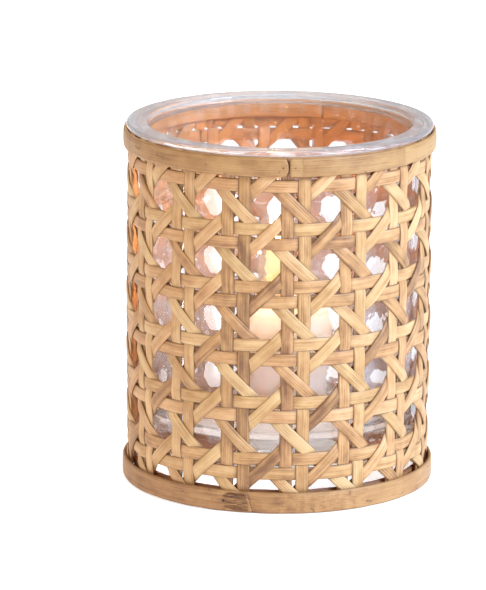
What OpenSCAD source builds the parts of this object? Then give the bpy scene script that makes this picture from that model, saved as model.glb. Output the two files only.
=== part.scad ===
// Candle holder: a clear glass insert that hangs by its lip in a sleeve of
// woven cane, with a votive candle standing on the glass floor.
// Millimetres. +Z is up. The origin is the centre of the sleeve's lower rim.
// Azimuths are counted from the front, -Y, and grow towards +X.

/* [Sleeve] */
// Diameter over the two rattan bands
sleeve_d = 130; // [126:1:140]
// Height of the woven sleeve
sleeve_h = 148.4; // [147:0.2:152]

/* [Bands] */
// Height of the band round the top
top_band_h = 8; // [6:0.5:9]
// Height of the band round the bottom
bottom_band_h = 9; // [6:0.5:12]
// Thickness of each split rattan band
band_t = 1.5; // [1.2:0.1:1.6]
// Width of the slit where the ends of the outer top band meet
band_slit = 0.4; // [0.2:0.1:1]
// Azimuth of that slit
slit_azimuth = 3.5; // [2:0.5:20]
// Azimuth of the lap joint in the bottom band
lap_azimuth = -22; // [-40:1:-5]

/* [Tacks] */
// Diameter of the tacks at the band joints
tack_d = 1.2; // [1:0.1:1.6]
// Distance between the two tacks of a joint, along the band
tack_spacing = 5; // [4:0.5:20]

/* [Weave] */
// Number of upright pairs round the sleeve
columns = 16; // [12:4:16]
// Number of hoop pairs up the sleeve
rows = 6; // [4:1:6]
// Height of the lowest hoop pair's middle
first_row_z = 19.4; // [18:0.2:20]
// Distance from one hoop pair to the next
row_pitch = 24; // [22:0.5:24]
// Azimuth of the first upright pair
first_column = 6.35; // [0:0.05:22]
// Width of a flat cane strand
strand_w = 5.4; // [4:0.1:6]
// Width of a diagonal strand
diagonal_w = 5; // [4:0.1:5.4]
// Thickness of a strand
strand_t = 0.6; // [0.5:0.05:0.65]
// Distance between the middles of a pair's two strands
pair_spacing = 6.7; // [6.2:0.1:7.5]
// How far the hoops sag at the back, where the weave was drawn askew
back_sag = 3.7; // [0:0.1:4]
// How far the columns slip sideways at the back, in degrees
back_slip = 3.5; // [0:0.5:4]

/* [Glass] */
// Height of the lip above the sleeve
lip_h = 2.4; // [2.2:0.1:5]
// Width of the lip from mouth to outer edge
lip_w = 8.6; // [7.6:0.1:9.6]
// Thickness of the glass wall
wall_t = 3.8; // [3:0.1:4.5]
// Height of the glass underside above the table
glass_z = 15; // [10:0.5:18]
// Thickness of the heavy glass floor
floor_t = 12; // [8:0.5:14]
// Radius of the fillet between wall and floor, inside
floor_fillet = 9; // [5:0.5:12]

/* [Candle] */
// Diameter of the candle at its upper edge
candle_d = 38; // [30:0.5:45]
// Diameter of the candle at its foot
candle_foot_d = 36; // [28:0.5:44]
// Height of the candle
candle_h = 46; // [30:1:50]
// How far the candle stands off the middle, towards +X
candle_x = 2.7; // [0:0.1:8]
// Depth of the melted pool
pool_depth = 3; // [1:0.5:4]
// Diameter of the wick
wick_d = 2; // [1.6:0.1:2.4]
// Length of bare wick above the pool
wick_above = 9; // [6:0.5:12]
// Diameter of the wick's metal tab
tab_d = 15; // [12:0.5:20]

/* [Hidden] */
// Round surfaces
$fn = 96;
// Gap under pieces that rest on another one
seat_gap = 0.05;
// Clearance round a piece that sits in a hole
hole_gap = 0.05;
// Distance that a cut reaches past a surface
past = 1;
// Sleeve layers, from the outside in: band, four strand layers, inner band
sleeve_r = sleeve_d / 2;
band_r = sleeve_r - band_t;
layer_gap = 0.1;
// A faceted strand's chords dip towards the axis by this much
facet_dip = 0.15;
falling_r = band_r - layer_gap - strand_t;
rising_r = falling_r - layer_gap - facet_dip - strand_t;
hoop_r = rising_r - layer_gap - facet_dip - strand_t;
upright_r = hoop_r - layer_gap - strand_t;
inner_band_r = upright_r - layer_gap;
inner_band_t = 1.2;
// Distance that the strands stop short of the sleeve's two rims
strand_end = 0.4;
column_step = 360 / columns;
strands_per_node = 2;
diagonal_nodes = columns / strands_per_node;
// Steps along a diagonal strand, and round a hoop
diagonal_steps = 18;
hoop_steps = 96;
// The weave is true up to this azimuth on both sides of the front
true_until = 70;
// Glass
body_gap = 0.5;
glass_r = inner_band_r - inner_band_t - body_gap;
lip_z = sleeve_h + seat_gap;
lip_r = sleeve_r - 1.4;
mouth_r = lip_r - lip_w;
wall_r = glass_r - wall_t;
floor_z = glass_z + floor_t;
lip_round = 1.1;
// Depth below the sleeve's rim where the mouth has widened to the wall
lip_slope = 3.6;
foot_round = 7;
// Candle
candle_z = floor_z + seat_gap;
candle_r = candle_d / 2;
foot_r = candle_foot_d / 2;
edge_round = 1.2;
pool_r = candle_r - 2.6;
pool_z = candle_z + candle_h - pool_depth;
wick_r = wick_d / 2;
bore_r = wick_r + hole_gap;
tab_t = 0.4;
collar_t = 0.6;
collar_h = 4;
tab_gap = 0.1;
arc_steps = 8;

UPRIGHTS = [for (i = [1:columns]) str("upright_pair_", i)];
HOOPS = [for (i = [1:2 * rows]) str("hoop_", i)];
RISING = [for (i = [1:diagonal_nodes]) str("rising_diagonals_", i)];
FALLING = [for (i = [1:diagonal_nodes]) str("falling_diagonals_", i)];
SINGLES = [
    "glass_insert", "candle_wax", "wick", "wick_tab",
    "top_band_outer", "top_band_inner", "bottom_band_outer", "bottom_band_inner",
    "top_band_tacks", "bottom_band_tacks"
];

// Points of an arc in the profile plane, for a quarter-like corner
function arc(cx, cy, r, from, to) =
    [for (i = [0:arc_steps]) let (a = from + (to - from) * i / arc_steps) [cx + r * cos(a), cy + r * sin(a)]];

// A point at a radius, an azimuth from the front and a height
function on_sleeve(r, azimuth, z) = [r * sin(azimuth), -r * cos(azimuth), z];

// How much an azimuth has of the weave's drift: 0 at the front, 1 at the back
function drift(azimuth) =
    let (folded = abs(azimuth - 360 * round(azimuth / 360)))
    let (t = max(0, (folded - true_until) / (180 - true_until)))
    t * t * (3 - 2 * t);

function sag(azimuth) = -back_sag * drift(azimuth);

function slipped(azimuth) = azimuth + back_slip * drift(azimuth);

// Turns its child from +X to an azimuth
module at_azimuth(azimuth) {
    rotate([0, 0, azimuth - 90])
        children();
}

// A flat hoop, cut open by a slit of the given width
module ring(inner, thickness, height, slit = 0) {
    slit_angle = slit / (inner + thickness) * 180 / PI;
    rotate([0, 0, slit_angle / 2])
        rotate_extrude(angle = 360 - slit_angle)
            translate([inner, 0])
                square([thickness, height]);
}

// The two tacks of a band joint, or the holes that they sit in
module tack_pair(azimuth, z, radius, length) {
    half_angle = tack_spacing / sleeve_r * 90 / PI;
    for (side = [-1, 1])
        at_azimuth(azimuth + side * half_angle)
            translate([band_r, 0, z])
                rotate([0, 90, 0])
                    cylinder(r = radius, h = length);
}

module tack_holes(azimuth, z) {
    translate([0, 0, z])
        tack_pair(azimuth, 0, tack_d / 2 + hole_gap, band_t + past);
}

module top_band_outer() {
    color("burlywood")
        difference() {
            translate([0, 0, sleeve_h - top_band_h])
                at_azimuth(slit_azimuth)
                    ring(band_r, band_t, top_band_h, band_slit);
            tack_holes(slit_azimuth, sleeve_h - top_band_h / 2);
        }
}

module bottom_band_outer() {
    color("burlywood")
        difference() {
            ring(band_r, band_t, bottom_band_h);
            tack_holes(lap_azimuth, bottom_band_h / 2);
        }
}

module top_band_inner() {
    color("tan")
        translate([0, 0, sleeve_h - top_band_h])
            ring(inner_band_r - inner_band_t, inner_band_t, top_band_h);
}

module bottom_band_inner() {
    color("tan")
        ring(inner_band_r - inner_band_t, inner_band_t, bottom_band_h);
}

module top_band_tacks() {
    color("dimgray")
        tack_pair(slit_azimuth, sleeve_h - top_band_h / 2, tack_d / 2, band_t);
}

module bottom_band_tacks() {
    color("dimgray")
        tack_pair(lap_azimuth, bottom_band_h / 2, tack_d / 2, band_t);
}

// Two flat strands side by side, running up the sleeve
module upright_pair(i) {
    strand_angle = strand_w / upright_r * 180 / PI;
    half_angle = pair_spacing / upright_r * 90 / PI;
    middle = slipped(first_column + (i - 1) * column_step);
    color("wheat")
        for (side = [-1, 1])
            at_azimuth(middle + side * half_angle - strand_angle / 2)
                translate([0, 0, strand_end])
                    rotate_extrude(angle = strand_angle)
                        translate([upright_r, 0])
                            square([strand_t, sleeve_h - 2 * strand_end]);
}

// One flat strand running round the sleeve. Odd numbers are the lower of a pair
module hoop(i) {
    row = floor((i - 1) / 2);
    side = i % 2 == 1 ? -1 : 1;
    middle = first_row_z + row * row_pitch + side * pair_spacing / 2;
    corners = [
        for (k = [0:hoop_steps - 1])
            let (a = 360 * k / hoop_steps)
            let (low = middle + sag(a) - strand_w / 2)
            each [
                on_sleeve(hoop_r, a, low),
                on_sleeve(hoop_r + strand_t, a, low),
                on_sleeve(hoop_r + strand_t, a, low + strand_w),
                on_sleeve(hoop_r, a, low + strand_w)
            ]
    ];
    faces = [
        for (k = [0:hoop_steps - 1])
            for (j = [0:3])
                let (a = 4 * k + j)
                let (b = 4 * k + (j + 1) % 4)
                let (c = 4 * ((k + 1) % hoop_steps) + j)
                let (d = 4 * ((k + 1) % hoop_steps) + (j + 1) % 4)
                each [[a, d, c], [a, b, d]]
    ];
    color("wheat")
        polyhedron(points = corners, faces = faces);
}

// A flat strand that climbs across the sleeve at 45 degrees.
// turn is 1 where it climbs towards +X, and -1 where it falls
module diagonal_strand(radius, azimuth, turn) {
    edge = diagonal_w / 2 / sqrt(2);
    edge_angle = edge / (row_pitch / column_step);
    low = strand_end + edge;
    high = sleeve_h - strand_end - edge;
    corners = [
        for (i = [0:diagonal_steps])
            let (z = low + (high - low) * i / diagonal_steps)
            let (rough = azimuth + turn * column_step * (z - first_row_z) / row_pitch)
            let (a = slipped(azimuth + turn * column_step * (z - sag(rough) - first_row_z) / row_pitch))
            each [
                on_sleeve(radius, a - edge_angle, z + turn * edge),
                on_sleeve(radius + strand_t, a - edge_angle, z + turn * edge),
                on_sleeve(radius + strand_t, a + edge_angle, z - turn * edge),
                on_sleeve(radius, a + edge_angle, z - turn * edge)
            ]
    ];
    last = 4 * diagonal_steps;
    // The broad faces are split along their shorter diagonal, which keeps them close to round
    sides = [
        for (i = [0:diagonal_steps - 1])
            for (j = [0:3])
                let (a = 4 * i + j)
                let (b = 4 * i + (j + 1) % 4)
                each j == 2 - turn ? [[a, a + 4, b], [b, a + 4, b + 4]] : [[a, a + 4, b + 4], [a, b + 4, b]]
    ];
    faces = concat([[0, 1, 2], [0, 2, 3]], sides, [[last, last + 2, last + 1], [last, last + 3, last + 2]]);
    polyhedron(points = corners, faces = faces);
}

module rising_diagonals(i) {
    color("wheat")
        for (k = [0:strands_per_node - 1])
            diagonal_strand(rising_r, first_column + (i - 0.5 + k * diagonal_nodes) * column_step, 1);
}

module falling_diagonals(i) {
    color("wheat")
        for (k = [0:strands_per_node - 1])
            diagonal_strand(falling_r, first_column + (i - 0.5 + k * diagonal_nodes) * column_step, -1);
}

// A tumbler with a heavy floor and a rolled lip that hangs on the sleeve
module glass_insert() {
    lip_top = lip_z + lip_h;
    profile = concat(
        [[0, glass_z]],
        arc(glass_r - foot_round, glass_z + foot_round, foot_round, -90, 0),
        [[glass_r, lip_z]],
        arc(lip_r - lip_round, lip_z + lip_round, lip_round, -90, 0),
        arc(lip_r - lip_round, lip_top - lip_round, lip_round, 0, 90),
        arc(mouth_r + lip_round, lip_top - lip_round, lip_round, 90, 180),
        [[wall_r, lip_z - lip_slope]],
        arc(wall_r - floor_fillet, floor_z + floor_fillet, floor_fillet, 0, -90),
        [[0, floor_z]]
    );
    color("lightcyan", 0.35)
        rotate_extrude()
            polygon(profile);
}

// The votive candle, with its melted pool, its wick bore and a recess for the tab
module candle_wax() {
    top = candle_h;
    profile = concat(
        [
            [tab_d / 2 + tab_gap, 0],
            [foot_r, 0],
            [candle_r, top - edge_round]
        ],
        arc(candle_r - edge_round, top - edge_round, edge_round, 0, 90),
        arc(pool_r + edge_round, top - edge_round, edge_round, 90, 180),
        [
            [pool_r, top - pool_depth],
            [bore_r, top - pool_depth],
            [bore_r, collar_h + tab_gap],
            [bore_r + collar_t + tab_gap, collar_h + tab_gap],
            [bore_r + collar_t + tab_gap, tab_t + tab_gap],
            [tab_d / 2 + tab_gap, tab_t + tab_gap]
        ]
    );
    color("moccasin")
        translate([candle_x, 0, candle_z])
            rotate_extrude()
                polygon(profile);
}

module wick() {
    foot = candle_z + seat_gap;
    color("dimgray")
        translate([candle_x, 0, foot])
            cylinder(r = wick_r, h = pool_z + wick_above - foot);
}

// A thin round plate with a collar that grips the wick's foot
module wick_tab() {
    color("silver")
        translate([candle_x, 0, candle_z])
            rotate_extrude()
                polygon([
                    [bore_r, 0],
                    [tab_d / 2, 0],
                    [tab_d / 2, tab_t],
                    [bore_r + collar_t, tab_t],
                    [bore_r + collar_t, collar_h],
                    [bore_r, collar_h]
                ]);
}

glass_insert();
candle_wax();
wick();
wick_tab();
top_band_outer();
top_band_inner();
bottom_band_outer();
bottom_band_inner();
top_band_tacks();
bottom_band_tacks();
for (i = [1:len(UPRIGHTS)])
    upright_pair(i);
for (i = [1:len(HOOPS)])
    hoop(i);
for (i = [1:len(RISING)])
    rising_diagonals(i);
for (i = [1:len(FALLING)])
    falling_diagonals(i);
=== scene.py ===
"""The looks of a cane and glass candle holder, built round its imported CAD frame."""

import math
import random

import bpy
import numpy as np
from mathutils import Matrix, Vector, noise


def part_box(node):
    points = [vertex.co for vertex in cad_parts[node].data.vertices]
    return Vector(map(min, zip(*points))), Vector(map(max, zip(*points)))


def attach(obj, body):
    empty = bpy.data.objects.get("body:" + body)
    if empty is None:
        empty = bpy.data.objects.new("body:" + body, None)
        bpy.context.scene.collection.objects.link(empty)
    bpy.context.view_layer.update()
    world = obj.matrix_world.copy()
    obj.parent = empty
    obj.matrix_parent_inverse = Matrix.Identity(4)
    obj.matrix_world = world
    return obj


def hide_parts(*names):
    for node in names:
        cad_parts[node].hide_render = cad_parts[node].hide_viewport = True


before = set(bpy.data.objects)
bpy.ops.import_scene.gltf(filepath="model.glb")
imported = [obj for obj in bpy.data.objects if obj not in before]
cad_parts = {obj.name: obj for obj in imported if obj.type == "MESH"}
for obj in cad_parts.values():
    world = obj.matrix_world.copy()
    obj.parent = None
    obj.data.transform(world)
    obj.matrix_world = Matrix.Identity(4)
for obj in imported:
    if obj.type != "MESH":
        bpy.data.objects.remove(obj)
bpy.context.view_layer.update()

# ------------------------------------------------------------------ sizes, in metres

MM = 0.001


def box_size(node, axis):
    """How long a CAD node's box is along an axis."""
    low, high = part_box(node)
    return (high - low)[axis]


def box_middle(node):
    """The middle of a CAD node's box."""
    low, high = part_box(node)
    return (low + high) / 2


def azimuth_of(point):
    """The azimuth of a point, in radians from the front towards +X."""
    return math.atan2(point.x, -point.y)


SLEEVE_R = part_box("bottom_band_outer")[1].x
SLEEVE_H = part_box("top_band_outer")[1].z
TOP_BAND_H = box_size("top_band_outer", 2)
BOTTOM_BAND_H = box_size("bottom_band_outer", 2)
INNER_BAND_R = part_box("top_band_inner")[1].x
BAND_T = 1.5 * MM
INNER_BAND_T = 1.2 * MM

ROWS = 6
COLUMNS = 16
# The weave was drawn a little askew round the back: it sags, and slips sideways
BACK_SAG = 3.7 * MM
BACK_SLIP = math.radians(3.5)
TRUE_UNTIL = math.radians(70)
STRAND_W = box_size("hoop_1", 2) - BACK_SAG
HOOP_TOPS = [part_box(f"hoop_{i}")[1].z for i in (1, 2, 3)]
FIRST_ROW_Z = (HOOP_TOPS[0] + HOOP_TOPS[1] - STRAND_W) / 2
ROW_PITCH = HOOP_TOPS[2] - HOOP_TOPS[0]
PAIR_SPACING = HOOP_TOPS[1] - HOOP_TOPS[0]
DIAGONAL_W = 5.0 * MM
FIRST_COLUMN = azimuth_of(box_middle("upright_pair_1"))
COLUMN_STEP = 2 * math.pi / COLUMNS
WEAVE_R = 61.9 * MM
STRAND_T = 0.88 * MM
TACK_SPACING = 5 * MM
HOOP_SPACING = PAIR_SPACING - 0.5 * MM
WEAVE_BULGE = 0.5 * MM

SLIT_AZIMUTH = math.radians(3.5)
LAP_START = math.radians(-34)
LAP_END = math.radians(-10)

GLASS_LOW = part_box("glass_insert")[0].z
GLASS_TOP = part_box("glass_insert")[1].z
LIP_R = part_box("glass_insert")[1].x
MOUTH_R = LIP_R - 8.6 * MM
GLASS_R = INNER_BAND_R - INNER_BAND_T - 0.5 * MM
GLASS_WALL = 3.8 * MM
LIP_Z = SLEEVE_H + 0.05 * MM

WAX_MIDDLE = box_middle("candle_wax")
WAX_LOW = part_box("candle_wax")[0].z
WAX_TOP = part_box("candle_wax")[1].z
WAX_R = box_size("candle_wax", 0) / 2
WAX_FOOT_R = 18.0 * MM
POOL_DEPTH = 3.0 * MM
WICK_R = box_size("wick", 0) / 2
WICK_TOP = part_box("wick")[1].z
FLAME_LOW = WICK_TOP - 4.5 * MM
FLAME_H = 31 * MM
FLAME_R = 6.3 * MM


# ------------------------------------------------------------------ mesh helpers

def smooth_noise(seed, s, wave):
    """Smooth noise from -1 to 1 along a distance s, with features about one wave long."""
    return noise.noise(Vector((s / wave, seed * 17.31, seed * 3.77))) * 1.6


def make_object(name, vertices, faces, attributes=None, smooth=True):
    """A mesh object with per-point vector attributes."""
    mesh = bpy.data.meshes.new(name)
    mesh.from_pydata([tuple(v) for v in vertices], [], faces)
    mesh.validate()
    for key, values in (attributes or {}).items():
        layer = mesh.attributes.new(key, "FLOAT_VECTOR", "POINT")
        layer.data.foreach_set("vector", np.asarray(values, np.float32).ravel())
    mesh.polygons.foreach_set("use_smooth", [smooth] * len(mesh.polygons))
    mesh.update()
    piece = bpy.data.objects.new(name, mesh)
    bpy.context.scene.collection.objects.link(piece)
    return piece


class Bundle:
    """Collects swept strips into one mesh, with each point's place on its strip."""

    def __init__(self):
        self.vertices = []
        self.faces = []
        self.places = []
        self.tones = []
        self.sunk = []

    def sweep(self, rings, places, tone, sunk=None, paler=None):
        """Joins rings of points into a tube. places holds (along, across, outward) for each point.
        tone is the strip's brightness, grain shift and groove depth. For each ring, sunk says how
        far it dips under its neighbours, from 0 to 1, which the material darkens as painted shade, and
        paler how much paler it is."""
        start = len(self.vertices)
        width = len(rings[0])
        none = [0] * len(rings)
        for ring, place, dip, pale in zip(rings, places, sunk or none, paler or none):
            self.vertices.extend(ring)
            self.places.extend(place)
            self.tones.extend([(tone[0] + pale, tone[1], tone[2])] * width)
            self.sunk.extend([(dip, 0, 0)] * width)
        last = start + (len(rings) - 1) * width
        for a in range(start, last, width):
            for j in range(width):
                k = (j + 1) % width
                self.faces.append((a + j, a + width + j, a + width + k, a + k))
        self.faces.append(tuple(range(start, start + width)))
        self.faces.append(tuple(range(last + width - 1, last - 1, -1)))

    def build(self, name):
        attributes = {"place": self.places, "tone": self.tones, "sunk": self.sunk}
        return make_object(name, self.vertices, self.faces, attributes)


def lathe(profile, segments, shift=None, middle=(0, 0)):
    """Vertices and faces of a profile of (radius, height) pairs turned round the Z axis.
    A profile point on the axis is one vertex. shift moves a point: it is given the radius, the
    angle and the height, and gives back the radius and the height."""
    vertices = []
    rows = []
    for radius, height in profile:
        if radius < 1e-7:
            rows.append([len(vertices)])
            vertices.append((middle[0], middle[1], height))
            continue
        rows.append(range(len(vertices), len(vertices) + segments))
        for i in range(segments):
            angle = 2 * math.pi * i / segments
            r, z = shift(radius, angle, height) if shift else (radius, height)
            vertices.append((middle[0] + r * math.cos(angle), middle[1] + r * math.sin(angle), z))
    faces = []
    for low, high in zip(rows, rows[1:]):
        for i in range(segments):
            k = (i + 1) % segments
            if len(low) == 1:
                faces.append((low[0], high[k], high[i]))
            elif len(high) == 1:
                faces.append((low[i], low[k], high[0]))
            else:
                faces.append((low[i], low[k], high[k], high[i]))
    return vertices, faces


def arc(cx, cy, radius, start, end, steps=10):
    """Points of an arc in the profile plane, with angles in degrees."""
    angles = [math.radians(start + (end - start) * i / steps) for i in range(steps + 1)]
    return [(cx + radius * math.cos(a), cy + radius * math.sin(a)) for a in angles]


def fill_in(profile, step):
    """Splits long stretches of a profile so that no piece of it is longer than step."""
    out = [profile[0]]
    for (r0, z0), (r1, z1) in zip(profile, profile[1:]):
        parts = max(1, math.ceil(math.hypot(r1 - r0, z1 - z0) / step))
        for i in range(1, parts + 1):
            out.append((r0 + (r1 - r0) * i / parts, z0 + (z1 - z0) * i / parts))
    return out


def place_piece(piece, body, slot, material, *nodes):
    """Puts a piece on a body, in place of CAD nodes."""
    piece.data.materials.append(material)
    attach(piece, body)
    if nodes:
        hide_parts(*nodes)
    return piece


# ------------------------------------------------------------------ materials

GROOVE_SPACING = 0.93 * MM
STRAND_EDGE_SHADE = 0.9


class Nodes:
    """Short calls for building a node material."""

    def __init__(self, name):
        self.material = bpy.data.materials.new(name)
        self.material.use_nodes = True
        self.tree = self.material.node_tree
        self.tree.nodes.clear()
        self.output = self.tree.nodes.new("ShaderNodeOutputMaterial")

    def add(self, kind, inputs=None, **settings):
        node = self.tree.nodes.new("ShaderNode" + kind)
        for key, value in settings.items():
            setattr(node, key, value)
        for key, value in (inputs or {}).items():
            socket = node.inputs[key]
            if isinstance(value, bpy.types.NodeSocket):
                self.tree.links.new(value, socket)
            else:
                socket.default_value = value
        return node

    def math(self, operation, a, b=0.0, c=0.0, clamp=False):
        node = self.add("Math", {0: a, 1: b, 2: c}, operation=operation, use_clamp=clamp)
        return node.outputs[0]

    def vector(self, operation, a, b=(0, 0, 0)):
        return self.add("VectorMath", {0: a, 1: b}, operation=operation).outputs[0]

    def noise(self, vector, scale, detail=3.0, roughness=0.5):
        inputs = {"Vector": vector, "Scale": scale, "Detail": detail, "Roughness": roughness}
        return self.add("TexNoise", inputs).outputs["Fac"]

    def ramp(self, factor, stops):
        node = self.add("ValToRGB", {0: factor})
        elements = node.color_ramp.elements
        while len(elements) < len(stops):
            elements.new(0.5)
        for element, (position, colour) in zip(elements, stops):
            element.position = position
            element.color = (*colour, 1) if len(colour) == 3 else colour
        return node.outputs["Color"]

    def mix(self, factor, a, b, blend="MIX"):
        a, b = ((*c, 1) if isinstance(c, tuple) else c for c in (a, b))
        node = self.add("Mix", {0: factor, 6: a, 7: b}, data_type="RGBA", blend_type=blend)
        return node.outputs[2]

    def bump(self, height, distance, strength):
        inputs = {"Height": height, "Distance": distance, "Strength": strength}
        return self.add("Bump", inputs).outputs["Normal"]

    def map_range(self, value, start, end, low=0.0, high=1.0):
        """Turns start..end into low..high, and holds it at both ends."""
        return self.add("MapRange", {0: value, 1: start, 2: end, 3: low, 4: high}).outputs[0]

    def finish(self, shader):
        self.tree.links.new(shader, self.output.inputs["Surface"])
        return self.material


def srgb(r, g, b):
    """A linear colour from 0 to 255 display values."""
    def linear(v):
        v /= 255
        return v / 12.92 if v <= 0.04045 else ((v + 0.055) / 1.055) ** 2.4
    return (linear(r), linear(g), linear(b))


def darker(colour, share):
    return tuple(c * share for c in colour)


def cane_material(
    name, pale, middle, dark, inside, half_width, half_thick, grain=1.0, knots=0.0, rim=STRAND_EDGE_SHADE,
):
    """Split cane: long fine grain, a few parallel grooves, painted shade along its edges and where it
    dips under its neighbours, and a darker inner face.
    grain, knots and rim say how strong its relief, its dark spots and the painted shade along its edges
    are."""
    n = Nodes(name)
    place = n.add("Attribute", attribute_name="place").outputs["Vector"]
    tone = n.add("Attribute", attribute_name="tone").outputs["Vector"]
    tones = n.add("SeparateXYZ", {0: tone})
    at = n.add("SeparateXYZ", {0: place})
    # across the strand the noise is fine, and along it the noise is stretched out
    lines_at = n.vector("ADD", n.vector("MULTIPLY", place, (38.0, 1500.0, 900.0)), tone)
    lines = n.noise(lines_at, 1.0, detail=4.0, roughness=0.55)
    broad_at = n.vector("ADD", n.vector("MULTIPLY", place, (60.0, 420.0, 300.0)), tone)
    broad = n.noise(broad_at, 1.0, detail=2.0)
    mottle_at = n.vector("ADD", n.vector("MULTIPLY", place, (130.0, 160.0, 160.0)), tone)
    mottle = n.noise(mottle_at, 1.0, detail=3.0, roughness=0.6)
    blend = n.math("ADD", n.math("MULTIPLY", lines, 0.36), n.math("MULTIPLY", broad, 0.30))
    blend = n.math("ADD", blend, n.math("MULTIPLY", mottle, 0.34))
    blend = n.math("ADD", blend, n.math("MULTIPLY", n.math("SUBTRACT", tones.outputs[0], 50.0), 0.012))
    colour = n.ramp(blend, [(0.28, dark), (0.46, middle), (0.64, pale)])

    # grooves run parallel to the strand, and fade in and out along it
    drifting = n.math("MULTIPLY", broad, 5.0)
    phase = n.math("MULTIPLY_ADD", at.outputs[1], 2 * math.pi / GROOVE_SPACING, drifting)
    wave = n.math("SINE", phase)
    groove = n.map_range(wave, 0.55, 1.0)
    fade = n.map_range(mottle, 0.35, 0.65, 1.0, 0.35)
    groove = n.math("MULTIPLY", n.math("MULTIPLY", groove, fade), tones.outputs[2])
    colour = n.mix(n.math("MULTIPLY", groove, 0.55), colour, darker(dark, 0.62))

    # painted shade along the edges, where the strands meet
    side = n.math("ABSOLUTE", at.outputs[1])
    edge = n.map_range(side, half_width * 0.74, half_width)
    patchy = n.math("MULTIPLY", mottle, 1.6)
    edge = n.math("MULTIPLY", n.math("MULTIPLY", edge, edge), patchy, clamp=True)
    colour = n.mix(n.math("MULTIPLY", edge, rim), colour, darker(dark, 0.38))
    # a band's painted edge shade is weaker than a strand's, and its lower edge gets a painted contact
    # shadow instead
    foot = n.map_range(at.outputs[1], half_width * -0.8, half_width * -1.0)
    colour = n.mix(n.math("MULTIPLY", foot, STRAND_EDGE_SHADE - rim), colour, darker(dark, 0.3))
    # painted shade where a strand dips under its neighbours
    sunk = n.add("Attribute", attribute_name="sunk").outputs["Vector"]
    sunk = n.add("SeparateXYZ", {0: sunk}).outputs[0]
    colour = n.mix(n.math("MULTIPLY", sunk, 0.72), colour, darker(dark, 0.42))
    # the inner face has a colour of its own
    inner = n.map_range(at.outputs[2], half_thick * 0.1, half_thick * -0.8)
    under = n.ramp(blend, [(0.36, darker(inside, 0.5)), (0.56, inside)])
    # the same painted edge shade on the inner face
    under = n.mix(n.math("MULTIPLY", edge, 0.6), under, darker(inside, 0.4))
    colour = n.mix(inner, colour, under)
    if knots:
        spots_at = n.vector("ADD", n.vector("MULTIPLY", place, (150.0, 260.0, 260.0)), tone)
        spots = n.noise(spots_at, 1.0, detail=2.0, roughness=0.7)
        spot = n.ramp(spots, [(0.66, (0, 0, 0)), (0.72, (1, 1, 1))])
        colour = n.mix(n.math("MULTIPLY", spot, knots), colour, srgb(96, 58, 30))
    hue = n.math("FRACT", n.math("MULTIPLY", tones.outputs[1], 0.613))
    colour = n.mix(1.0, colour, n.mix(hue, (1.0, 0.99, 0.93), (1.05, 0.965, 0.97)), "MULTIPLY")
    roughness = n.math("MULTIPLY_ADD", lines, -0.20, 0.62)
    height = n.math("ADD", n.math("MULTIPLY", lines, 0.6), n.math("MULTIPLY", broad, 0.3))
    height = n.math("SUBTRACT", height, n.math("MULTIPLY", groove, 0.5))
    inputs = {
        "Base Color": colour,
        "Roughness": roughness,
        "Normal": n.bump(height, 0.35 * MM * grain, 0.8),
        "Specular IOR Level": 0.6,
    }
    return n.finish(n.add("BsdfPrincipled", inputs).outputs[0])


def glass_material():
    """Clear glass that lets the lamps through, with faint ripples, a faint bloom lower down and a
    painted reflection of the cane tinting its foot.
    """
    n = Nodes("clear_glass")
    where = n.add("TexCoord").outputs["Object"]
    height = n.add("SeparateXYZ", {0: where}).outputs["Z"]
    wave = n.noise(n.vector("MULTIPLY", where, (1.0, 1.0, 0.7)), 60.0, detail=1.0)
    fine = n.noise(where, 260.0, detail=1.0)
    ripple = n.math("ADD", wave, n.math("MULTIPLY", fine, 0.10))
    foot = n.map_range(height, 28 * MM, 45 * MM, 0.1, 1.0)
    calm = n.map_range(height, 134 * MM, 143 * MM, 0.8, 0.12)
    # the thick foot is tinted the cane's colour, a painted reflection of the cane round it
    foot_reflection_tint = n.mix(foot, (0.90, 0.81, 0.74), (0.98, 0.99, 0.985))
    inputs = {
        "Base Color": foot_reflection_tint,
        "Roughness": 0.0,
        "IOR": 1.5,
        "Transmission Weight": 1.0,
        "Normal": n.bump(ripple, 1.0 * MM, calm),
    }
    glass = n.add("BsdfPrincipled", inputs).outputs[0]
    thin = n.add("BsdfTransparent", {"Color": (0.97, 0.97, 0.97, 1)}).outputs[0]
    glass = n.add("MixShader", {0: 0.16, 1: glass, 2: thin}).outputs[0]
    bloom = n.map_range(height, 110 * MM, 75 * MM, 0.01, 0.10)
    lip = n.map_range(height, 145 * MM, 149 * MM, 0.0, 0.07)
    bloom = n.math("ADD", n.math("MULTIPLY", bloom, foot), lip)
    bloom = n.math("MULTIPLY", bloom, n.math("MULTIPLY_ADD", wave, 1.2, 0.4))
    haze = n.add("BsdfDiffuse", {"Color": (0.94, 0.96, 0.98, 1)}).outputs[0]
    glass = n.add("MixShader", {0: bloom, 1: glass, 2: haze}).outputs[0]
    clear = n.add("BsdfTransparent", {"Color": (0.93, 0.94, 0.93, 1)}).outputs[0]
    shadow = n.add("LightPath").outputs["Is Shadow Ray"]
    return n.finish(n.add("MixShader", {0: shadow, 1: glass, 2: clear}).outputs[0])


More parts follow.
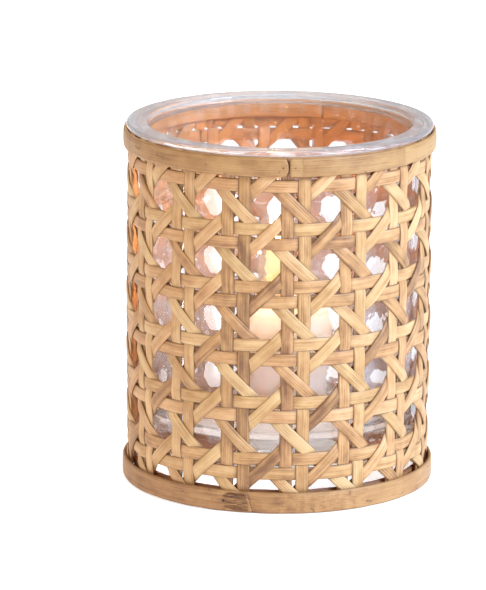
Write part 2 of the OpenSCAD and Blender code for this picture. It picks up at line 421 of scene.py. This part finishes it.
def wax_material():
    """Cream wax with a painted glow: emission that stands in for the flame's light in the wax, faint at
    its foot and strongest at its top.
    """
    n = Nodes("candle_wax")
    where = n.add("TexCoord").outputs["Object"]
    height = n.add("SeparateXYZ", {0: where}).outputs["Z"]
    near_flame = n.map_range(height, WAX_LOW + 8 * MM, WAX_TOP)
    cloud = n.noise(where, 90.0, detail=3.0, roughness=0.6)
    colour = n.ramp(cloud, [(0.3, srgb(232, 202, 176)), (0.7, srgb(247, 226, 202))])
    # painted glow of the flame's light, faint even at the foot of the wax
    cool = [(0.0, (0.10, 0.055, 0.04)), (0.45, (0.26, 0.14, 0.09))]
    glow = n.ramp(near_flame, cool + [(0.75, (0.66, 0.45, 0.24)), (1.0, (1.0, 0.74, 0.40))])
    inputs = {
        "Base Color": colour,
        "Roughness": n.math("MULTIPLY_ADD", cloud, 0.15, 0.36),
        "Subsurface Weight": 0.6,
        "Subsurface Radius": (9.0, 5.5, 3.0),
        "Subsurface Scale": 1.0 * MM,
        "Emission Color": glow,
        "Emission Strength": 0.75,
        "Normal": n.bump(cloud, 0.2 * MM, 0.5),
    }
    return n.finish(n.add("BsdfPrincipled", inputs).outputs[0])


def wick_material():
    """Plaited cotton, pale at the foot, charred above the pool and glowing at its tip."""
    n = Nodes("wick_cotton")
    where = n.add("TexCoord").outputs["Object"]
    height = n.add("SeparateXYZ", {0: where}).outputs["Z"]
    burnt = n.map_range(height, WICK_TOP - 9 * MM, WICK_TOP)
    fluff = n.noise(where, 1400.0, detail=2.0)
    cotton = [(0.0, srgb(196, 170, 130)), (0.2, srgb(70, 45, 28))]
    char = n.ramp(burnt, cotton + [(0.6, srgb(24, 18, 15)), (1.0, srgb(40, 18, 10))])
    ember = n.ramp(burnt, [(0.88, (0, 0, 0)), (1.0, (1.0, 0.25, 0.04))])
    inputs = {
        "Base Color": n.mix(n.math("MULTIPLY", fluff, 0.4), char, srgb(30, 22, 18)),
        "Roughness": 0.95,
        "Emission Color": ember,
        "Emission Strength": 2.0,
        "Normal": n.bump(fluff, 0.2 * MM, 0.8),
    }
    return n.finish(n.add("BsdfPrincipled", inputs).outputs[0])


def flame_material(low, high):
    """A candle flame: faint blue-orange at its root, white-yellow in the body, orange at the tip."""
    n = Nodes("flame")
    where = n.add("TexCoord").outputs["Object"]
    height = n.add("SeparateXYZ", {0: where}).outputs["Z"]
    up = n.map_range(height, low, high)
    root = [(0.0, (0.25, 0.16, 0.2)), (0.12, (0.9, 0.42, 0.1))]
    body = [(0.35, (1.0, 0.70, 0.28)), (0.7, (1.0, 0.74, 0.34)), (1.0, (1.0, 0.46, 0.14))]
    colour = n.ramp(up, root + body)
    return n.finish(n.add("Emission", {"Color": colour, "Strength": 1.4}).outputs[0])


def metal_material(name, colour, roughness):
    """Thin sheet or wire, with a brushed and slightly stained face."""
    n = Nodes(name)
    where = n.add("TexCoord").outputs["Object"]
    stain = n.noise(where, 500.0, detail=3.0, roughness=0.6)
    shade = n.mix(n.math("MULTIPLY", stain, 0.5), colour, darker(colour, 0.45))
    inputs = {
        "Base Color": shade,
        "Metallic": 1.0,
        "Roughness": n.math("MULTIPLY_ADD", stain, 0.3, roughness - 0.15),
        "Normal": n.bump(stain, 0.05 * MM, 0.5),
    }
    return n.finish(n.add("BsdfPrincipled", inputs).outputs[0])


def floor_material():
    """Plain pale floor, a little brightened so that it meets the white background."""
    n = Nodes("floor_white")
    where = n.add("TexCoord").outputs["Object"]
    speck = n.noise(where, 30.0, detail=2.0)
    colour = n.ramp(speck, [(0.3, (0.86, 0.86, 0.86)), (0.7, (0.88, 0.88, 0.88))])
    inputs = {
        "Base Color": colour,
        "Roughness": 0.9,
        "Emission Color": (1, 1, 1, 1),
        "Emission Strength": 0.6,
    }
    return n.finish(n.add("BsdfPrincipled", inputs).outputs[0])


INSIDE = srgb(172, 112, 50)
strand_material = cane_material(
    "cane_strand", srgb(211, 174, 122), srgb(185, 140, 87), srgb(121, 79, 43), INSIDE,
    STRAND_W / 2, STRAND_T / 2,
)
band_material = cane_material(
    "rattan_band", srgb(180, 138, 86), srgb(158, 113, 63), srgb(106, 66, 32), INSIDE,
    BOTTOM_BAND_H / 2, BAND_T / 2, grain=1.6, knots=0.6, rim=0.35,
)
inner_band_material = cane_material(
    "rattan_inner_band", srgb(192, 142, 94), srgb(168, 116, 74), srgb(118, 74, 44),
    srgb(162, 112, 60), TOP_BAND_H / 2, BAND_T / 2, grain=1.1, knots=0.3, rim=0.6,
)


# ------------------------------------------------------------------ the weave

# A strand's section: distance across from -1 to 1, and height from -0.5 to 0.5 of its thickness
STRAND_SECTION = [
    (-0.90, -0.50), (-0.99, -0.30), (-1.00, 0.00), (-0.93, 0.24), (-0.72, 0.36), (-0.40, 0.45),
    (0.00, 0.50), (0.40, 0.45), (0.72, 0.36), (0.93, 0.24), (1.00, 0.00), (0.99, -0.30),
    (0.90, -0.50), (0.30, -0.50), (-0.30, -0.50),
]
# A few uprights are of browner cane: (pair, side) and its tone, below 0 for darker
UPRIGHT_TONES = {(16, -1): -5.0, (16, 1): -9.0, (2, -1): -3.0}
# The distance between a strand's rings
RING_STEP = 1.6 * MM
UNDER_LIFT = 0.56 * STRAND_T
DIAGONAL_LIFT = 0.98 * STRAND_T


def from_cluster(distance, pitch):
    """Signed distance to the nearest multiple of pitch."""
    return (distance + pitch / 2) % pitch - pitch / 2


def pair_wave(distance):
    """How a strand of a pair lifts near a cluster, where it goes under one strand and over the next."""
    reach = PAIR_SPACING / 2
    far = ROW_PITCH / 2
    if abs(distance) <= reach:
        return math.sin(math.pi / 2 * distance / reach)
    share = min(1.0, (abs(distance) - reach) / (far - reach))
    return math.copysign(math.cos(math.pi / 2 * share) ** 2, distance)


def diagonal_wave(distance):
    """A diagonal's lift between the hoops, where it is 1, and the uprights, where it is -1."""
    return math.tanh(2 * math.cos(2 * math.pi * distance / ROW_PITCH)) / math.tanh(2)


def weave_radius(z):
    """The weave's middle surface, which swells a little between the bands."""
    return WEAVE_R + WEAVE_BULGE * math.sin(math.pi * min(1, max(0, z / SLEEVE_H)))


def drift(azimuth):
    """How much an azimuth has of the weave's drift: 0 at the front, 1 at the back."""
    folded = abs((azimuth + math.pi) % (2 * math.pi) - math.pi)
    share = max(0.0, (folded - TRUE_UNTIL) / (math.pi - TRUE_UNTIL))
    return share * share * (3 - 2 * share)


def sag(azimuth):
    """How far the weave has moved down at an azimuth, as a height to add."""
    return -BACK_SAG * drift(azimuth)


def slipped(azimuth):
    """An azimuth of the true weave moved to where it is on the crooked one."""
    return azimuth + BACK_SLIP * drift(azimuth)


def strand_ring(azimuth, z, lift, across_angle, across_z, width, along):
    """One ring of a strand's points and their places on the strand."""
    radius = weave_radius(z) + lift
    ring = []
    places = []
    for side, height in STRAND_SECTION:
        offset = side * width / 2
        a = azimuth + offset * across_angle / radius
        r = radius + height * STRAND_T
        level = z + offset * across_z
        level = min(SLEEVE_H - 0.3 * MM, max(0.3 * MM, level))
        ring.append((r * math.sin(a), -r * math.cos(a), level))
        places.append((along, offset, height * STRAND_T))
    return ring, places


def dip_of(lift, deepest):
    """How far a strand is sunk at a lift, from 0 above its neighbours to 1 where it is deepest."""
    return min(1.0, max(0.0, -lift / deepest - 0.1) / 0.9)


def strand_tone(rng, groove=0.4, paler=0.0):
    """A strand's tone, a random shift of its grain, and how deep its grooves show."""
    return (50 + paler + rng.gauss(0, 4.6), rng.uniform(0, 900), groove * rng.uniform(0.5, 1.5))


def upright(bundle, rng, azimuth, side, paler):
    """One upright strand. side is -1 for the left one of its pair. paler is below 0 for browner cane."""
    seed = rng.uniform(0, 100)
    tone = strand_tone(rng, 0.45, paler)
    width = STRAND_W * rng.uniform(0.95, 1.03)
    count = int(SLEEVE_H / RING_STEP)
    rings, places, sunk = [], [], []
    for i in range(count + 1):
        z = 0.4 * MM + (SLEEVE_H - 0.8 * MM) * i / count
        lift = -side * UNDER_LIFT * pair_wave(from_cluster(z - sag(azimuth) - FIRST_ROW_Z, ROW_PITCH))
        sway = 0.30 * MM * smooth_noise(seed, z, 28 * MM)
        w = width * (1 + 0.04 * smooth_noise(seed + 7, z, 15 * MM))
        at = azimuth + (side * PAIR_SPACING / 2 + sway) / WEAVE_R
        ring, place = strand_ring(at, z, lift, 1, 0, w, z)
        rings.append(ring)
        places.append(place)
        sunk.append(dip_of(lift, UNDER_LIFT))
    bundle.sweep(rings, places, tone, sunk=sunk)


def hoop(bundle, rng, row, side):
    """One strand round the sleeve. side is -1 for the lower one of its pair."""
    seed = rng.uniform(0, 100)
    tone = strand_tone(rng)
    width = STRAND_W * rng.uniform(0.95, 1.03)
    count = 256
    # its ends meet at the back, under the upright that passes over it there
    start = slipped(FIRST_COLUMN + (7 + row % 3) * COLUMN_STEP) - side * PAIR_SPACING / 2 / WEAVE_R
    turn = 2 * math.pi - 0.3 * MM / WEAVE_R
    rings, places, sunk = [], [], []
    for i in range(count + 1):
        azimuth = start + turn * i / count
        along = azimuth * WEAVE_R
        # sampling the noise on a circle makes the two ends meet
        x, y = math.cos(azimuth), math.sin(azimuth)
        sway = 0.45 * MM * noise.noise(Vector((x * 2.2, y * 2.2, seed)))
        swell = 1 + 0.06 * noise.noise(Vector((x * 4, y * 4, seed + 9)))
        column = azimuth - BACK_SLIP * drift(azimuth) - FIRST_COLUMN
        column = from_cluster(column, COLUMN_STEP) / COLUMN_STEP * ROW_PITCH
        z = FIRST_ROW_Z + row * ROW_PITCH + side * HOOP_SPACING / 2 + sag(azimuth) + sway
        lift = side * UNDER_LIFT * pair_wave(column)
        ring, place = strand_ring(azimuth, z, lift, 0, -1, width * swell, along)
        rings.append(ring)
        places.append(place)
        sunk.append(dip_of(lift, UNDER_LIFT))
    bundle.sweep(rings, places, tone, sunk=sunk)


def diagonal(bundle, rng, azimuth, turn):
    """One diagonal strand. turn is 1 if it climbs towards +X and -1 if it falls. The rising ones
    go over the hoops."""
    seed = rng.uniform(0, 100)
    tone = strand_tone(rng, 0.35 if turn > 0 else 1.0, -2.0 if turn > 0 else 1.0)
    width = DIAGONAL_W * rng.uniform(0.96, 1.05)
    slope = math.sqrt(0.5)
    low = 0.4 * MM + width / 2 * slope
    high = SLEEVE_H - low
    count = int((high - low) / slope / RING_STEP)
    rings, places, sunk = [], [], []
    for i in range(count + 1):
        z = low + (high - low) * i / count
        rough = azimuth + turn * COLUMN_STEP * (z - FIRST_ROW_Z) / ROW_PITCH
        level = z - sag(rough) - FIRST_ROW_Z
        lift = turn * DIAGONAL_LIFT * diagonal_wave(level)
        sway = 0.35 * MM * smooth_noise(seed, z, 30 * MM)
        at = slipped(azimuth + turn * COLUMN_STEP * level / ROW_PITCH) + sway / WEAVE_R
        w = width * (1 + 0.05 * smooth_noise(seed + 5, z, 14 * MM))
        ring, place = strand_ring(at, z, lift, slope, -turn * slope, w, z / slope)
        rings.append(ring)
        places.append(place)
        sunk.append(0.8 * dip_of(lift, DIAGONAL_LIFT))
    bundle.sweep(rings, places, tone, sunk=sunk)


def make_weave():
    rng = random.Random(11)
    for i in range(COLUMNS):
        bundle = Bundle()
        for side in (-1, 1):
            paler = UPRIGHT_TONES.get((i + 1, side), 0.0)
            upright(bundle, rng, slipped(FIRST_COLUMN + i * COLUMN_STEP), side, paler)
        piece = bundle.build(f"cane_upright_pair_{i + 1}")
        place_piece(piece, "sleeve", "cane_strand", strand_material, f"upright_pair_{i + 1}")
    for i in range(2 * ROWS):
        bundle = Bundle()
        hoop(bundle, rng, i // 2, -1 if i % 2 == 0 else 1)
        piece = bundle.build(f"cane_hoop_{i + 1}")
        place_piece(piece, "sleeve", "cane_strand", strand_material, f"hoop_{i + 1}")
    for name, turn in (("rising", 1), ("falling", -1)):
        for i in range(COLUMNS // 2):
            bundle = Bundle()
            for k in range(2):
                diagonal(bundle, rng, FIRST_COLUMN + (i + 0.5 + k * COLUMNS // 2) * COLUMN_STEP, turn)
            piece = bundle.build(f"cane_{name}_diagonals_{i + 1}")
            place_piece(piece, "sleeve", "cane_strand", strand_material, f"{name}_diagonals_{i + 1}")


# ------------------------------------------------------------------ the bands

def band_section(low_r, thickness, low_z, height, bow, steps=6):
    """A flat band's section as (radius, height) pairs, with rounded edges and a bowed outer face."""
    edge = min(thickness * 0.48, 0.7 * MM)
    outer = []
    for i in range(steps + 1):
        share = i / steps
        z = low_z + edge + (height - 2 * edge) * share
        outer.append((low_r + thickness - bow * (2 * share - 1) ** 2, z))
    corner = bow + edge
    top_z = low_z + height
    bottom = [
        (low_r, low_z + edge * 0.6), (low_r + edge * 0.4, low_z),
        (low_r + thickness - corner, low_z),
        (low_r + thickness - bow - edge * 0.3, low_z + edge * 0.3),
    ]
    top = [
        (low_r + thickness - bow - edge * 0.3, top_z - edge * 0.3),
        (low_r + thickness - corner, top_z),
        (low_r + edge * 0.4, top_z), (low_r, top_z - edge * 0.6),
    ]
    return bottom + outer + top


def band(
    bundle, rng, start, end, low_z, height, layer, ends, bow=0.18 * MM, slant=0.0, pale=None,
):
    """A strip bent round the sleeve from one azimuth to another.
    layer gives (inner radius, thickness) at an azimuth. ends are the corner roundings of its two ends.
    slant leans its far end, and pale gives how much paler it is at an azimuth."""
    step = 0.9 * MM
    seed = rng.uniform(0, 100)
    tone = strand_tone(rng)
    length = (end - start) * SLEEVE_R
    count = int(length / step)
    rings, places, paler = [], [], []
    for i in range(count + 1):
        along = length * i / count
        azimuth = start + along / SLEEVE_R
        low_r, thickness = layer(azimuth)
        lean = slant * max(0.0, 1 - (length - along) / (12 * MM))
        paler.append(pale(azimuth) if pale else 0)
        squeeze = 0.0
        for distance, rounding in ((along, ends[0]), (length - along, ends[1])):
            if distance < rounding:
                squeeze = max(squeeze, rounding - math.sqrt(rounding**2 - (rounding - distance) ** 2))
        wear_low = 0.10 * MM * max(0.0, 1 + smooth_noise(seed, along, 9 * MM)) + squeeze
        wear_high = 0.10 * MM * max(0.0, 1 + smooth_noise(seed + 3, along, 9 * MM)) + squeeze
        thin = 1 - 0.05 * (1 + smooth_noise(seed + 6, along, 22 * MM))
        worn_height = height - wear_low - wear_high
        section = band_section(low_r, thickness * thin, low_z + wear_low, worn_height, bow)
        ring = []
        for r, z in section:
            a = azimuth - lean * ((z - low_z) / height - 0.5)
            ring.append((r * math.sin(a), -r * math.cos(a), z))
        rings.append(ring)
        places.append([(along, z - low_z - height / 2, r - low_r - thickness / 2) for r, z in section])
    bundle.sweep(rings, places, tone, paler=paler)


def fibre(bundle, rng, azimuth, z, length, radius, thick):
    """A short loose fibre that lies along a band."""
    sides = 5
    steps = 6
    lean = rng.uniform(-0.12, 0.12)
    lift = rng.uniform(0.0, 0.12) * MM
    rings, places = [], []
    for i in range(steps + 1):
        share = i / steps
        along = length * share
        size = thick * (0.25 + math.sin(math.pi * min(1, share * 1.1)) * 0.75)
        a = azimuth + along / radius
        r = radius + lift * share**2
        level = z + lean * along + 0.15 * MM * smooth_noise(z * 900, along, 3 * MM)
        ring = []
        for j in range(sides):
            t = 2 * math.pi * j / sides
            rr = r + size * math.cos(t) * 0.7
            ring.append((rr * math.sin(a), -rr * math.cos(a), level + size * math.sin(t)))
        rings.append(ring)
        places.append([(along, z, size)] * sides)
    bundle.sweep(rings, places, strand_tone(rng, 0, rng.choice((-26, -20, -12, 6))))


BUTT_GAP = 0.3 * MM / SLEEVE_R
FULL_TURN = 2 * math.pi
TOP_BAND_Z = SLEEVE_H - TOP_BAND_H
OUTER_BAND_LOW_R = SLEEVE_R - BAND_T
# The bottom band laps over its own start, with both layers pared down to about half thickness
LAP_T = BAND_T * 0.47
PARED = math.radians(5)
# Near its end the outer layer is worn: how far back, in radians, how deep, and with what fibres
WORN_LENGTH = 0.20
WORN_DEPTH = 0.75
FIBRES = 60


def top_pale(azimuth):
    """The top band's start is bleached, and a stretch at the right is paler than the rest."""
    if azimuth < SLIT_AZIMUTH + math.radians(4.6):
        return 6
    return 0 if math.radians(52) < azimuth < math.radians(95) else -7


def bottom_painted_highlight(azimuth):
    """The bottom band is painted paler at the front right, a painted highlight where the key light falls
    on it.
    """
    return 9 * min(1.0, max(0.0, azimuth / 0.6)) if azimuth < 2 else 0


def bottom_layer(azimuth):
    """The bottom band's inner radius and thickness at an azimuth."""
    past_start = azimuth - LAP_START
    to_end = LAP_END + FULL_TURN - azimuth
    lap = LAP_END - LAP_START
    if past_start < lap:
        return OUTER_BAND_LOW_R, LAP_T
    if past_start < lap + PARED:
        return OUTER_BAND_LOW_R, LAP_T + (BAND_T - LAP_T) * (past_start - lap) / PARED
    if to_end < lap:
        worn = min(1.0, max(0.0, WORN_LENGTH - to_end) / 0.04)
        worn *= min(1.0, 0.35 + to_end / 0.03)
        return OUTER_BAND_LOW_R + BAND_T - LAP_T, LAP_T * (1 - WORN_DEPTH * worn)
    if to_end < lap + PARED:
        share = 1 - (to_end - lap) / PARED
        return OUTER_BAND_LOW_R + (BAND_T - LAP_T) * share, BAND_T - (BAND_T - LAP_T) * share
    return OUTER_BAND_LOW_R, BAND_T


def make_top_band(rng):
    top = Bundle()
    band(
        top, rng, SLIT_AZIMUTH + BUTT_GAP, SLIT_AZIMUTH + FULL_TURN - BUTT_GAP,
        TOP_BAND_Z, TOP_BAND_H, lambda a: (OUTER_BAND_LOW_R, BAND_T),
        ends=(0.6 * MM, 2.4 * MM), pale=top_pale,
    )
    piece = top.build("rattan_top_band_outer")
    place_piece(piece, "sleeve", "rattan_band", band_material, "top_band_outer")


def make_bottom_band(rng):
    bottom = Bundle()
    band(
        bottom, rng, LAP_START, LAP_END + FULL_TURN, 0, BOTTOM_BAND_H, bottom_layer,
        ends=(0.5 * MM, 0.8 * MM), bow=0.12 * MM, slant=0.043, pale=bottom_painted_highlight,
    )
    for i in range(FIBRES):
        azimuth = LAP_END - rng.uniform(0.05, WORN_LENGTH)
        level = rng.uniform(0.9, BOTTOM_BAND_H / MM - 0.9) * MM
        reach = min(rng.uniform(3, 10) * MM, (LAP_END - azimuth - 0.01) * SLEEVE_R)
        thick = rng.uniform(0.16, 0.30) * MM
        fibre(bottom, rng, azimuth, level, reach, SLEEVE_R - 0.46 * MM, thick)
    piece = bottom.build("rattan_bottom_band_outer")
    place_piece(piece, "sleeve", "rattan_band", band_material, "bottom_band_outer")


def make_inner_bands(rng):
    inner_r = INNER_BAND_R - INNER_BAND_T
    start = math.pi * 0.9
    for name, z, height in (("top", TOP_BAND_Z, TOP_BAND_H), ("bottom", 0, BOTTOM_BAND_H)):
        inner = Bundle()
        band(
            inner, rng, start, start + FULL_TURN - BUTT_GAP, z, height,
            lambda a: (inner_r, INNER_BAND_T), ends=(0.5 * MM, 0.5 * MM), bow=0.05 * MM,
        )
        piece = inner.build(f"rattan_{name}_band_inner")
        place_piece(piece, "sleeve", "rattan_inner_band", inner_band_material, f"{name}_band_inner")


def make_bands():
    rng = random.Random(23)
    make_top_band(rng)
    make_bottom_band(rng)
    make_inner_bands(rng)


def make_tacks():
    """Domed tack heads, sunk a little into the band."""
    shank_r = 0.6 * MM
    head_r = 0.75 * MM
    half_angle = TACK_SPACING / 2 / SLEEVE_R
    steel = metal_material("tack_steel", srgb(92, 80, 70), 0.45)
    for name in ("top_band_tacks", "bottom_band_tacks"):
        middle = box_middle(name)
        azimuth = azimuth_of(middle)
        vertices, faces = [], []
        for side in (-1, 1):
            profile = [(0, SLEEVE_R - BAND_T), (shank_r, SLEEVE_R - BAND_T)]
            profile += [(shank_r, SLEEVE_R - 0.5 * MM)]
            profile += arc(0, SLEEVE_R - head_r, head_r, 20, 90, 6)
            profile[-1] = (0, SLEEVE_R)
            points, rings = lathe(profile, 20)
            turn = Matrix.Rotation(azimuth + side * half_angle - math.pi / 2, 4, "Z")
            turn = Matrix.Translation((0, 0, middle.z)) @ turn @ Matrix.Rotation(math.pi / 2, 4, "Y")
            start = len(vertices)
            vertices.extend(turn @ Vector(p) for p in points)
            faces.extend(tuple(start + k for k in face) for face in rings)
        piece = make_object(name.replace("band_tacks", "tack_heads"), vertices, faces)
        place_piece(piece, "sleeve", "tack_steel", steel, name)


# ------------------------------------------------------------------ glass and candle

def make_glass():
    foot_round = 7 * MM
    lip_round = 1.1 * MM
    fillet = 9 * MM
    wall_r = GLASS_R - GLASS_WALL
    floor_z = WAX_LOW - 0.05 * MM
    profile = [(0, GLASS_LOW), (GLASS_R * 0.5, GLASS_LOW)]
    profile += arc(GLASS_R - foot_round, GLASS_LOW + foot_round, foot_round, -90, 0)
    profile += [(GLASS_R, LIP_Z - 1.2 * MM)]
    profile += arc(GLASS_R + 1.2 * MM, LIP_Z - 1.2 * MM, 1.2 * MM, 180, 90, 6)
    profile += arc(LIP_R - lip_round, LIP_Z + lip_round, lip_round, -90, 0)
    profile += arc(LIP_R - lip_round, GLASS_TOP - lip_round, lip_round, 0, 90)
    profile += arc(MOUTH_R + lip_round, GLASS_TOP - lip_round, lip_round, 90, 180)
    profile += [(wall_r, LIP_Z - 3.6 * MM)]
    profile += arc(wall_r - fillet, floor_z + fillet, fillet, 0, -90)
    profile += [(wall_r * 0.4, floor_z), (0, floor_z)]
    profile = fill_in(profile, 3 * MM)

    def shift(radius, angle, height):
        """Slight waviness of the inside, as hand-finished glass has. The outside keeps its size."""
        if radius > wall_r + 0.3 * MM or height < floor_z + 2 * MM:
            return radius, height
        wave = noise.noise(Vector((math.cos(angle) * 1.6, math.sin(angle) * 1.6, height * 22)))
        return radius - 0.25 * MM * (1 + wave), height

    vertices, faces = lathe(profile, 256, shift)
    piece = make_object("glass_insert_clear", vertices, faces)
    return place_piece(piece, "glass", "clear_glass", glass_material(), "glass_insert")


def make_candle():
    pool_r = WAX_R - 2.6 * MM
    edge = 1.2 * MM
    top = WAX_TOP
    tab_r = 7.6 * MM
    collar_r = 1.75 * MM
    bore_r = WICK_R + 0.05 * MM
    profile = [
        (bore_r, top - POOL_DEPTH), (bore_r, WAX_LOW + 4.1 * MM), (collar_r, WAX_LOW + 4.1 * MM),
        (collar_r, WAX_LOW + 0.5 * MM), (tab_r, WAX_LOW + 0.5 * MM), (tab_r, WAX_LOW),
        (WAX_FOOT_R - 0.5 * MM, WAX_LOW), (WAX_FOOT_R, WAX_LOW + 0.6 * MM),
        (WAX_R - 0.1 * MM, top - edge),
    ]
    profile += arc(WAX_R - edge, top - edge, edge, 0, 90, 8)
    profile += arc(pool_r + edge, top - edge, edge, 90, 180, 8)
    profile += [(pool_r - 0.6 * MM, top - POOL_DEPTH + 0.3 * MM), (pool_r - 1.6 * MM, top - POOL_DEPTH)]
    profile += [(WICK_R * 2.2, top - POOL_DEPTH), (bore_r, top - POOL_DEPTH)]
    profile = fill_in(profile, 2.5 * MM)[:-1]

    def shift(radius, angle, height):
        """The rim melts unevenly, and the side has faint dents."""
        if radius < pool_r - 2 * MM or height < WAX_LOW + 2 * MM:
            return radius, height
        c, s = math.cos(angle), math.sin(angle)
        share = max(0.0, (height - (top - 5 * MM)) / (5 * MM))
        dip = 0.9 * MM * share * (0.55 + noise.noise(Vector((c * 1.4, s * 1.4, 4.0))))
        dent = 0.18 * MM * (1 + noise.noise(Vector((c * 2, s * 2, height * 60))))
        return radius - dent, height - max(0.0, dip)

    count = 128
    vertices, faces = lathe(profile, count, shift, middle=(WAX_MIDDLE.x, WAX_MIDDLE.y))
    # the profile starts and ends at the wick's bore, so its two ends are joined
    last = len(vertices) - count
    faces.extend((last + i, last + (i + 1) % count, (i + 1) % count, i) for i in range(count))
    piece = make_object("candle_wax_votive", vertices, faces)
    place_piece(piece, "candle", "candle_wax", wax_material(), "candle_wax")


def wick_path(share):
    """A point along the wick: straight in the wax, then curling over to the left."""
    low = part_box("wick")[0].z
    z = low + (WICK_TOP - low) * share
    pool = WAX_TOP - POOL_DEPTH
    bare = max(0.0, (z - pool) / (WICK_TOP - pool))
    return Vector((WAX_MIDDLE.x - 3.2 * MM * bare**2, WAX_MIDDLE.y - 0.8 * MM * bare**2, z))


def make_wick():
    bundle = Bundle()
    steps, sides = 70, 18
    rings, places = [], []
    for i in range(steps + 1):
        share = i / steps
        centre = wick_path(share)
        bare = max(0.0, (centre.z - (WAX_TOP - POOL_DEPTH)) / (9 * MM))
        ring = []
        for j in range(sides):
            t = 2 * math.pi * j / sides
            plait = 0.5 + 0.5 * math.cos(3 * t + share * 60)
            r = WICK_R * (0.80 + 0.18 * plait) * (1 - 0.25 * min(1, bare) ** 3)
            ring.append(centre + Vector((r * math.cos(t), r * math.sin(t), 0)))
        rings.append(ring)
        places.append([(share, j / sides, 0) for j in range(sides)])
    bundle.sweep(rings, places, (50, 0, 0))
    piece = bundle.build("candle_wick")
    place_piece(piece, "candle", "wick_cotton", wick_material(), "wick")


def flame_axis(share):
    """The flame's middle line, which leans a little to the left as it rises."""
    foot = wick_path(0.93)
    return Vector((foot.x - 5.5 * MM * share, foot.y, FLAME_LOW + FLAME_H * share))


def make_flame():
    steps, sides = 40, 32
    vertices, faces = [], []
    for i in range(1, steps):
        share = i / steps
        centre = flame_axis(share)
        swell = math.sin(math.pi * share**0.62) ** 0.9 * (1 - 0.35 * share)
        for j in range(sides):
            t = 2 * math.pi * j / sides
            r = FLAME_R * swell * (1 + 0.05 * math.cos(t - 1))
            vertices.append(centre + Vector((r * math.cos(t), 0.8 * r * math.sin(t), 0)))
    for i in range(steps - 2):
        for j in range(sides):
            k = (j + 1) % sides
            faces.append((i * sides + j, i * sides + k, (i + 1) * sides + k, (i + 1) * sides + j))
    foot, tip = len(vertices), len(vertices) + 1
    vertices += [flame_axis(0), flame_axis(1)]
    last = (steps - 2) * sides
    for j in range(sides):
        k = (j + 1) % sides
        faces.append((foot, k, j))
        faces.append((tip, last + j, last + k))
    piece = make_object("candle_flame", vertices, faces)
    piece.visible_shadow = False
    place_piece(piece, "candle", "flame", flame_material(FLAME_LOW, FLAME_LOW + FLAME_H))


def finish_wick_tab():
    """The CAD wick tab keeps its shape and gets its metal."""
    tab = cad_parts["wick_tab"]
    tin = metal_material("wick_metal", srgb(190, 190, 188), 0.4)
    tab.data.materials.clear()
    tab.data.materials.append(tin)


# ------------------------------------------------------------------ studio

def make_camera():
    """The camera stands 2 m off, 13.7 degrees above the horizon, and looks past the object's middle."""
    distance = 1.9987
    elevation = math.radians(13.72)
    roll = math.radians(0.488)
    data = bpy.data.cameras.new("camera")
    data.sensor_width = 36
    data.lens = 292.1
    data.shift_x = -0.0601
    data.shift_y = 0.0085
    data.clip_start = 0.05
    camera = bpy.data.objects.new("camera", data)
    bpy.context.scene.collection.objects.link(camera)
    back = Vector((0, -math.cos(elevation), math.sin(elevation)))
    camera.location = Vector((0, 0, 74.2 * MM)) + back * distance
    camera.rotation_mode = "QUATERNION"
    aim = (-back).to_track_quat("-Z", "Y")
    camera.rotation_quaternion = aim @ Matrix.Rotation(roll, 3, "Z").to_quaternion()
    bpy.context.scene.camera = camera


def area_light(name, place, size, power, colour=(1, 1, 1)):
    """A square soft light that faces the object."""
    data = bpy.data.lights.new(name, "AREA")
    data.shape = "SQUARE"
    data.size = size
    data.energy = power
    data.color = colour
    lamp = bpy.data.objects.new(name, data)
    lamp.location = place
    lamp.rotation_mode = "QUATERNION"
    lamp.rotation_quaternion = (Vector((0, 0, 0.07)) - Vector(place)).to_track_quat("-Z", "Y")
    bpy.context.scene.collection.objects.link(lamp)
    return lamp


def make_studio(glass):
    size = 5.0
    floor_z = -0.2 * MM
    corners = [(x * size, y * size, floor_z) for x, y in ((-1, -1), (1, -1), (1, 1), (-1, 1))]
    floor = make_object("floor", corners, [(0, 1, 2, 3)], smooth=False)
    floor.data.materials.append(floor_material())

    world = bpy.data.worlds.new("studio")
    world.use_nodes = True
    background = world.node_tree.nodes["Background"]
    background.inputs["Color"].default_value = (1.0, 1.0, 1.0, 1)
    background.inputs["Strength"].default_value = 0.71
    bpy.context.scene.world = world
    area_light("key", (1.25, -0.75, 1.05), 0.6, 32, (0.81, 1.07, 1.50))
    area_light("warm_fill", (-1.2, -0.9, 0.7), 0.8, 4, (1.0, 0.62, 0.30))
    # a low white card that only shows as a reflection in the glass
    card = area_light("glass_card", (-0.21, -0.11, 0.06), 0.2, 1.4)
    card.visible_camera = False
    card.visible_diffuse = False
    card.visible_transmission = False
    lit = bpy.data.collections.new("glass_card_lights")
    lit.objects.link(glass)
    card.light_linking.receiver_collection = lit

    glow = bpy.data.lights.new("candle_glow", "POINT")
    glow.energy = 0.075
    glow.color = (1.0, 0.50, 0.17)
    glow.shadow_soft_size = 4 * MM
    lamp = bpy.data.objects.new("candle_glow", glow)
    lamp.location = flame_axis(0.75) + Vector((0, 0, 4 * MM))
    bpy.context.scene.collection.objects.link(lamp)
    bpy.context.scene.view_settings.view_transform = "Standard"
    paths = bpy.context.scene.cycles
    paths.max_bounces = 24
    paths.transmission_bounces = 24
    paths.transparent_max_bounces = 24


make_camera()
make_weave()
make_bands()
make_tacks()
glass_piece = make_glass()
make_candle()
make_wick()
make_flame()
finish_wick_tab()
make_studio(glass_piece)
